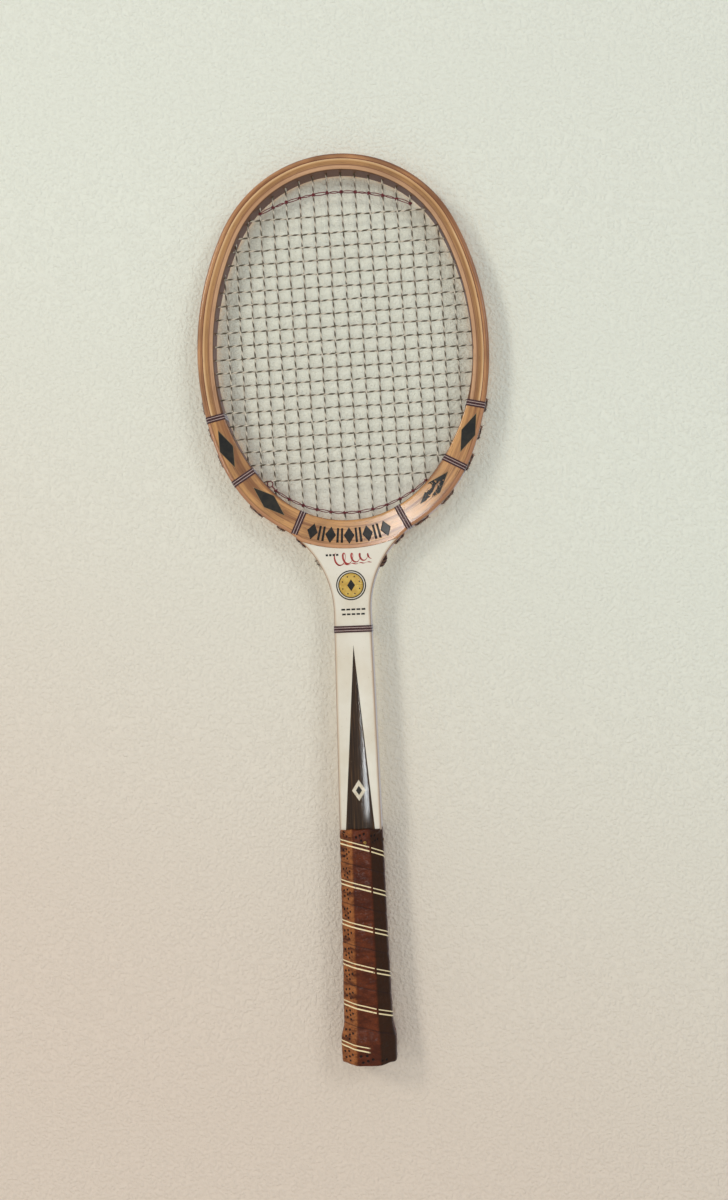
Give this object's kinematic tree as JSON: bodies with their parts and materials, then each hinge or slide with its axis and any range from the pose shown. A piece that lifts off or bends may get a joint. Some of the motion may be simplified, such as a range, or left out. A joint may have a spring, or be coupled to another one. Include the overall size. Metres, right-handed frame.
{
  "type": "tennis racket",
  "caption": "Laminated wooden tennis racket with a solid throat, woven strings, whippings and a leather-wrapped octagonal handle.",
  "frame": {"origin": "centre of the butt end, on the racket's long axis", "axes": "+Z along the racket from the butt to the head, -Y out of the front face, +X to the right across the face"},
  "size_m": [0.2208, 0.0368, 0.6858],
  "materials": {
    "outer_ply": "varnished tan-brown ash, long straight grain, gloss",
    "red_veneer": "thin red-brown veneer line, varnished",
    "pale_ply": "varnished pale ash",
    "brown_ply": "varnished brown wood",
    "ring_wood": "varnished pale wood, darker varnish in the string holes",
    "core_wood": "plain sawn wood, hidden by the faces and the leather",
    "overlay_veneer": "golden-orange varnished veneer with fine grain, gloss",
    "fibre": "cream vulcanised fibre under varnish, satin to gloss, slightly aged",
    "dark_wedge": "very dark varnished wood with faint grain, gloss",
    "transfer": "black varnished transfer with a thin pale edge, worn",
    "whipping_thread": "dark maroon and pinkish silver thread, varnished",
    "string": "cream string with a dark spiral, semi-gloss",
    "trebling_cord": "thin dark red double cord",
    "handle_wood": "plain sawn wood under the leather",
    "leather": "glossy red-brown perforated leather with thin gold lines, worn",
    "cap_leather": "dark brown leather board",
    "tack": "small dulled brass tacks"
  },
  "bodies": {
    "root": {"bow_outer_ply": "outer_ply", "bow_red_veneer": "red_veneer", "bow_pale_ply": "pale_ply", "bow_brown_ply": "brown_ply", "inner_ring": "ring_wood", "throat_block": "core_wood", "shaft_core": "core_wood", "crown_overlay_front": "overlay_veneer", "crown_overlay_back": "overlay_veneer", "fibre_face_front": "fibre", "fibre_face_back": "fibre", "wedge_inlay_front": "dark_wedge", "wedge_inlay_back": "dark_wedge", "diamonds_front": "transfer", "diamonds_back": "transfer", "whipping_upper_left": "whipping_thread", "whipping_upper_right": "whipping_thread", "whipping_middle_left": "whipping_thread", "whipping_middle_right": "whipping_thread", "whipping_crown_left": "whipping_thread", "whipping_crown_right": "whipping_thread", "whipping_shaft": "whipping_thread", "main_strings": "string", "cross_strings": "string", "string_loops": "string", "trebling_top": "trebling_cord", "trebling_bottom": "trebling_cord", "handle_pallet_front": "handle_wood", "handle_pallet_back": "handle_wood", "handle_cheek_left": "handle_wood", "handle_cheek_right": "handle_wood", "butt_flare": "handle_wood", "butt_cap": "cap_leather", "butt_tacks": "tack", "leather_grip": "leather", "grip_tacks": "tack"}
  },
  "joints": []
}
